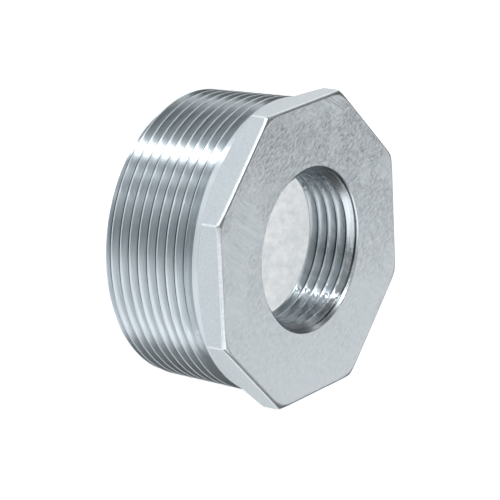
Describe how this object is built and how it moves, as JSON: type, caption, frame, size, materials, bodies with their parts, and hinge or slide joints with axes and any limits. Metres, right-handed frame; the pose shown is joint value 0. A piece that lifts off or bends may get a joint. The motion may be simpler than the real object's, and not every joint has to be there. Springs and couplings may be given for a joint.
{
  "type": "pipe bushing",
  "caption": "Reducing pipe bushing: a wrench head with a threaded port in its face, and a tapered threaded shank with a cored cavity behind the port.",
  "frame": {"origin": "on the axis, in the plane of the shank's open end, which is the middle of the bottom of the box", "axes": "+Z runs along the axis from the shank's open end out of the face of the head; +X is square to one wrench flat"},
  "size_m": [0.06, 0.06, 0.0295],
  "materials": {
    "stainless_steel": "cast stainless steel, ground face, turned threads, tumbled cavity"
  },
  "bodies": {
    "root": {"bushing": "stainless_steel"}
  },
  "joints": []
}
